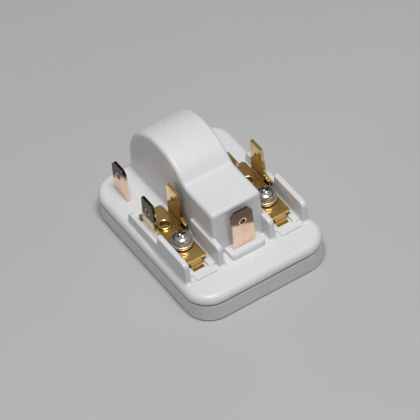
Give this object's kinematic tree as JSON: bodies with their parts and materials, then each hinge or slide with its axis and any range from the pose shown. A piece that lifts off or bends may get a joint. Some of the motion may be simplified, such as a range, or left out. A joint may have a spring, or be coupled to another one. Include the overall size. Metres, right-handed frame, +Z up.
{
  "type": "compressor start relay",
  "caption": "White two-shell plug-on starting relay with an arched disc housing, brass screw-and-tab terminals and copper push-on tabs.",
  "frame": {"origin": "centre of the underside of the lower shell", "axes": "+Z up out of the cover, +Y along the long side towards the arched hump, +X to the right seen from the front tab"},
  "size_m": [0.0382, 0.0514, 0.0275],
  "materials": {
    "shell_base": "satin moulded",
    "shell_cover": "satin moulded",
    "brass_bracket": "stamped, bright",
    "brass_strip": "stamped, bright",
    "nickel_washer": "nickel plated",
    "nickel_screw": "nickel plated",
    "copper_tab": "bright copper",
    "ceramic_disc": "matt ceramic",
    "spring_leaf": "spring steel",
    "brass_socket": "stamped",
    "steel_clip": "spring steel"
  },
  "bodies": {
    "root": {"base_shell": "shell_base", "cover": "shell_cover", "terminal_bracket_left": "brass_bracket", "terminal_bracket_right": "brass_bracket", "terminal_strip_left": "brass_strip", "terminal_strip_right": "brass_strip", "terminal_washer_left": "nickel_washer", "terminal_washer_right": "nickel_washer", "terminal_screw_left": "nickel_screw", "terminal_screw_right": "nickel_screw", "tab_front": "copper_tab", "tab_rear": "copper_tab", "ptc_disc": "ceramic_disc", "ptc_spring_left": "spring_leaf", "ptc_spring_right": "spring_leaf", "pin_socket_common": "brass_socket", "pin_socket_start": "brass_socket", "pin_socket_run": "brass_socket", "pin_clip_common": "steel_clip", "pin_clip_start": "steel_clip", "pin_clip_run": "steel_clip"}
  },
  "joints": []
}
